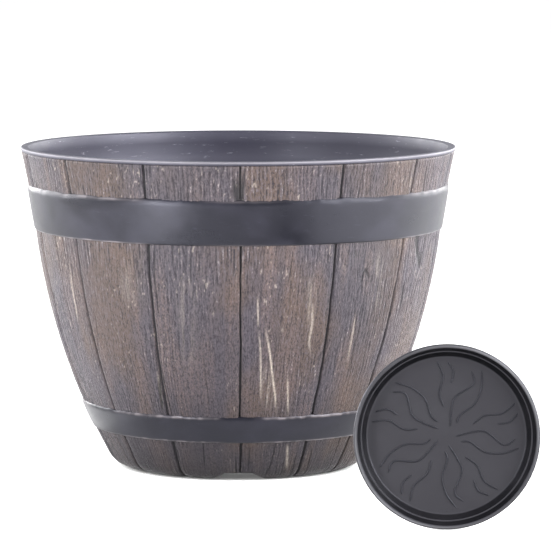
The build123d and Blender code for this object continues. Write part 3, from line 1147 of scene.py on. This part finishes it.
saucerShape = {
    "centreX": 0.1658,
    "standOff": 0.1652,  # from the rim's front to the saucer's back
    "radius": 0.0745,
    "height": 0.012,
    "lipWidth": 0.0034,
    "lipDrop": 0.0026,
    "lipShineIn": 0.0017,  # the painted highlight line on the lip, in from its edge, and its half width
    "lipShineHalf": 0.0007,
    "lipShineTurn": 135,  # degrees at which it is brightest, as it is opposite
    "lipShineLeast": 0.15,
    "upperRun": 0.0023,
    "stepWidth": 0.0012,
    "stepHeight": 0.0066,
    "lowerRun": 0.0039,
    "wall": 0.002,
    "hub": 0.003,
    "rounds": [0.0012, 0.0007, 0.0004, 0.0006, 0.0009, 0.0014, 0.0011, 0.0007, 0.0005, 0.0014],
    "longestRun": 0.004,
    "steepSpan": (0.30, 0.60),  # the slopes between which the wall turns dark with painted shade
    "columns": 480,
    "ribWidth": 0.0015,
    "ribHeight": 0.0007,
    "ribSides": 12,
    "arms": 5,
}

# The ribs' lines on the saucer's floor: share of the floor's radius, degrees from the arm.
saucerLines = {
    "long": [(0.95, -7.5), (0.75, -3.5), (0.54, -9.5), (0.36, -5.0)],
    "short": [(0.93, 0.8), (0.81, 6.0), (0.66, 5.0)],
    "petal": [(0.93, -8.0), (0.74, 0.0), (0.53, 5.5), (0.31, -2.0), (0.20, 5.0)],
    "petalBack": [(0.87, -15.0), (0.73, -8.5), (0.50, -23.0), (0.33, -25.0), (0.12, -12.0)],
}

def onSaucer(points):
    # Turns a dish drawn with its opening up so that it stands on edge and opens to the front.
    s = saucerShape
    x, y, z = points[..., 0], points[..., 1], points[..., 2]
    back = -(potShape["rimRadius"] + s["standOff"])
    return np.stack([s["centreX"] + x, back - z, s["radius"] + y], -1)


def saucerDish():
    # The dish's section from the middle of its back, out under the wall to the lip and in over the steps.
    s = saucerShape
    t, hub = s["wall"], s["hub"]
    lipInside = s["radius"] - s["lipWidth"]
    stepOutside = lipInside - s["upperRun"]
    stepInside = stepOutside - s["stepWidth"]
    floorRadius = stepInside - s["lowerRun"]
    lipLow = s["height"] - s["lipDrop"]
    profile = roundedLine(
        [
            (hub, 0), (floorRadius + t / 2, 0), (stepInside + t, s["stepHeight"] - t),
            (stepOutside + t, s["stepHeight"] - t), (lipInside + t, lipLow), (s["radius"], lipLow),
            (s["radius"], s["height"]), (lipInside, s["height"]), (stepOutside, s["stepHeight"]),
            (stepInside, s["stepHeight"]), (floorRadius, t), (hub, t),
        ],
        s["rounds"],
        7,
    )
    profile = divided(profile, s["longestRun"])
    azimuth = fullTurn(s["columns"])
    points = ringPoint(profile[:, :1], azimuth[None], profile[:, 1:])
    along = np.gradient(profile, axis=0)
    # Painted shade: the steep walls of lip and step turn dark.
    steep = np.abs(along[:, 1]) / np.linalg.norm(along, axis=1)
    wallOnly = (profile[:, 0] < s["radius"] - s["wall"]) * (profile[:, 1] > t)
    steep = smooth(*s["steepSpan"], steep) * wallOnly
    # Painted highlight along the lip's crest, brightest on one diagonal.
    crest = np.exp(-(((profile[:, 0] - s["radius"] + s["lipShineIn"]) / s["lipShineHalf"]) ** 2))
    bright = liftedTo(s["lipShineLeast"], np.cos(azimuth - radians(s["lipShineTurn"]))[None] ** 2)
    crest = crest[:, None] * (profile[:, 1:] > lipLow) * bright
    shade = np.append(np.repeat(steep, s["columns"]), [0, 0])
    poles = (onSaucer(np.array([0, 0, 0.0])), onSaucer(np.array([0, 0, t])))
    fields = {"wallShade": shade, "lipShine": np.append(crest.ravel(), [0, 0])}
    mesh = gridMesh("saucer_dish", onSaucer(points), poles=poles, fields=fields)
    return mesh, floorRadius


def ribPath(line, turn, floorRadius, count=40):
    # A smooth curve through the line's points, with each point's tangent along its two neighbours.
    share, angle = np.array(line).T
    a = np.radians(angle + turn)
    p = np.stack([share * np.sin(a), share * np.cos(a)], 1) * floorRadius
    p = np.concatenate([[2 * p[0] - p[1]], p, [2 * p[-1] - p[-2]]])
    t = np.linspace(0, len(p) - 3 - 1e-9, count)
    k = t.astype(int)
    f = (t - k)[:, None]
    a, b, c, d = p[k], p[k + 1], p[k + 2], p[k + 3]
    return 0.5 * (2 * b + (c - a) * f + (2 * a - 5 * b + 4 * c - d) * f**2 + (3 * b - a - 3 * c + d) * f**3)


def saucerRibs(floorRadius):
    # Each rib is an oval carried along its path, half sunk in the floor and narrowed to a point at its ends.
    s = saucerShape
    pitch = 360 / s["arms"]
    lines = [(saucerLines[key], arm * pitch) for arm in range(s["arms"]) for key in ("long", "short")]
    lines += [(saucerLines[key], (arm + 0.5) * pitch)
              for arm in range(s["arms"]) for key in ("petal", "petalBack")]
    vertices, faces = [], []
    around = fullTurn(s["ribSides"])
    for line, turn in lines:
        path = ribPath(line, turn, floorRadius)
        along = np.gradient(path, axis=0)
        along /= np.linalg.norm(along, axis=1)[:, None]
        side = np.stack([-along[:, 1], along[:, 0]], 1)
        t = np.linspace(0, 1, len(path))
        size = np.sqrt(np.clip(np.minimum(1, np.minimum(t, 1 - t) * 14 + 0.05), 0, 1))
        across = size[:, None] * s["ribWidth"] / 2 * np.cos(around)
        up = size[:, None] * s["ribHeight"] * np.sin(around)
        onFloor = path[:, None] + side[:, None] * across[..., None]
        points = np.concatenate([onFloor, (s["wall"] + up)[..., None]], -1)
        first = sum(len(v) for v in vertices)
        index = first + np.arange(points.shape[0] * points.shape[1]).reshape(points.shape[:2])
        here, after = index[:-1], index[1:]
        quads = np.stack([here, after, np.roll(after, -1, 1), np.roll(here, -1, 1)], -1)
        faces += quads.reshape(-1, 4).tolist()
        faces += [index[0].tolist(), index[-1, ::-1].tolist()]
        vertices.append(onSaucer(points).reshape(-1, 3))
    mesh = bpy.data.meshes.new("saucer_ribs")
    mesh.from_pydata(np.concatenate(vertices).tolist(), [], faces)
    mesh.validate()
    mesh.shade_smooth()
    return mesh


dishMesh, saucerFloorRadius = saucerDish()
addPiece("saucer_dish", dishMesh, "loose_saucer", ["saucer"], saucerMaterial, 60)
addPiece("saucer_ribs", saucerRibs(saucerFloorRadius), "loose_saucer", ["saucer"],
         ribMaterial, 60)


# Floor, light and camera.

studio = {
    "fill": 0.26,  # strength of the surroundings for all but the camera and reflections
    "fillColour": (0.97, 0.98, 1, 1),
    "mirrored": 1.0,  # their strength in reflections
    "floorMirrored": 0.60,  # and the share of the floor's brightness there
    "floorColour": (0.14, 0.14, 0.14, 1),  # as the object's light meets it
    "floorShown": (0.55, 0.55, 0.55, 1),  # as the camera sees it, with the glow
    "floorGlow": 0.86,
    "floorHalf": 60.0,
    "floorLevel": -0.0002,
    "contactReach": 0.050,  # how far round a foot the glow fades, for a contact shadow
    "contactSpan": (0.08, 0.30),
    "contactLeast": 0.05,
    "aimHeight": 0.15,
}

# Soft boxes round the pot: azimuth in degrees, distance, height, width, tallness and power.
softBoxes = {
    "frontBox": (10, 3.2, 1.7, 1.6, 1.2, 14),
    "windowBox": (-40, 1.15, 0.32, 0.17, 0.62, 16),
    "upperBox": (-38, 1.15, 1.15, 0.40, 0.50, 3),
    "leftBox": (-82, 2.4, 0.9, 1.2, 1.6, 26),
    "rightBox": (62, 2.2, 0.9, 1.6, 1.6, 140),
    "topBox": (85, 1.3, 1.6, 1.0, 0.8, 8),
    "leftRimBox": (-125, 3.4, 0.7, 4.0, 3.0, 320),
    "rightRimBox": (125, 3.2, 0.9, 3.4, 3.0, 240),
}

# Soft sheets that lie on the floor and face up, for the hoops to mirror: centre, width, depth and power.
floorSheets = {
    "leftSheet": (-0.42, -0.02, 0.52, 0.80, 1.2),
    "rightSheet": (0.90, -0.05, 1.20, 1.30, 4),
}
sheetHeight = 0.002

photoView = {
    "place": (0, -3.789, 0.560),
    "down": 5.942,  # degrees below the level, and to the right of straight ahead
    "right": 0.4925,
    "lens": 283.84,
    "sensor": 36,
    "reach": 200,
}


def cameraSees(tree, rays):
    # 1 for what the camera sees, straight or through something clear, and 0 for other light.
    return combine(tree, "MAXIMUM", rays.outputs["Is Camera Ray"], rays.outputs["Is Transmission Ray"])


def makeFloor():
    # A wide flat square. The camera sees it glow white, less a contact shadow where little of the sky over a
    # point is open; reflections see a share of that, and the object's light meets plain dark paper.
    half, level = studio["floorHalf"], studio["floorLevel"]
    corners = [(-half, -half, level), (half, -half, level), (half, half, level), (-half, half, level)]
    mesh = bpy.data.meshes.new("floor")
    mesh.from_pydata(corners, [], [(0, 1, 2, 3)])
    floor = newObject("floor", mesh)
    material = bpy.data.materials.new("floorPaper")
    material.use_nodes = True
    tree = material.node_tree
    tree.nodes.clear()
    rays = addNode(tree, "ShaderNodeLightPath")
    diffuse = addNode(tree, "ShaderNodeBsdfDiffuse", {"Color": studio["floorColour"]})
    shown = addNode(tree, "ShaderNodeBsdfDiffuse", {"Color": studio["floorShown"]})
    near = addNode(tree, "ShaderNodeAmbientOcclusion", {"Distance": studio["contactReach"]}, samples=8)
    full = studio["floorGlow"]
    strength = mapped(tree, near.outputs["AO"], *studio["contactSpan"], studio["contactLeast"] * full, full)
    glow = addNode(tree, "ShaderNodeEmission", {"Color": (1, 1, 1, 1), "Strength": strength})
    both = addNode(tree, "ShaderNodeAddShader", {0: shown.outputs[0], 1: glow.outputs[0]})
    mirrored = combine(tree, "MULTIPLY", rays.outputs["Is Glossy Ray"], studio["floorMirrored"])
    seen = combine(tree, "MAXIMUM", cameraSees(tree, rays), mirrored)
    mix = addNode(tree, "ShaderNodeMixShader", {0: seen, 1: diffuse.outputs[0], 2: both.outputs[0]})
    addNode(tree, "ShaderNodeOutputMaterial", {"Surface": mix.outputs[0]})
    mesh.materials.append(material)


def makeWorld():
    # White to the camera, bright in reflections, and a weak fill for all other light.
    world = bpy.data.worlds.new("studioWorld")
    bpy.context.scene.world = world
    world.use_nodes = True
    tree = world.node_tree
    tree.nodes.clear()
    rays = addNode(tree, "ShaderNodeLightPath")
    seen = cameraSees(tree, rays)
    strength = mapped(tree, rays.outputs["Is Glossy Ray"], 0, 1, studio["fill"], studio["mirrored"])
    shown = addNode(tree, "ShaderNodeBackground", {"Color": (1, 1, 1, 1), "Strength": 1.0})
    fill = addNode(tree, "ShaderNodeBackground", {"Color": studio["fillColour"], "Strength": strength})
    mix = addNode(tree, "ShaderNodeMixShader", {0: seen, 1: fill.outputs[0], 2: shown.outputs[0]})
    addNode(tree, "ShaderNodeOutputWorld", {"Surface": mix.outputs[0]})


def addLamp(name, width, tall, power, place, turns):
    # A rectangular soft lamp that the camera doesn't see.
    data = bpy.data.lights.new(name, "AREA")
    data.shape = "RECTANGLE"
    data.size, data.size_y = width, tall
    data.energy = power
    lamp = newObject(name, data)
    lamp.location = place
    lamp.rotation_euler = turns
    lamp.visible_camera = False


def makeLights():
    # Each box stands at its azimuth and is tilted down to the pot's middle; the sheets face straight up.
    for name, (azimuth, distance, height, width, tall, power) in softBoxes.items():
        a = radians(azimuth)
        drop = atan2(height - studio["aimHeight"], distance)
        place = (distance * sin(a), -distance * cos(a), height)
        addLamp(name, width, tall, power, place, (pi / 2 - drop, 0, a))
    for name, (x, y, width, deep, power) in floorSheets.items():
        addLamp(name, width, deep, power, (x, y, sheetHeight), (pi, 0, 0))


def makeCamera():
    # The camera that was fitted to the photo.
    data = bpy.data.cameras.new("photoCamera")
    data.lens = photoView["lens"]
    data.sensor_width = photoView["sensor"]
    data.clip_end = photoView["reach"]
    camera = newObject("photoCamera", data)
    camera.location = photoView["place"]
    camera.rotation_euler = (radians(90 - photoView["down"]), 0, radians(-photoView["right"]))
    bpy.context.scene.camera = camera


makeFloor()
makeWorld()
makeLights()
makeCamera()
bpy.context.scene.view_settings.view_transform = "Standard"
print("stage set")
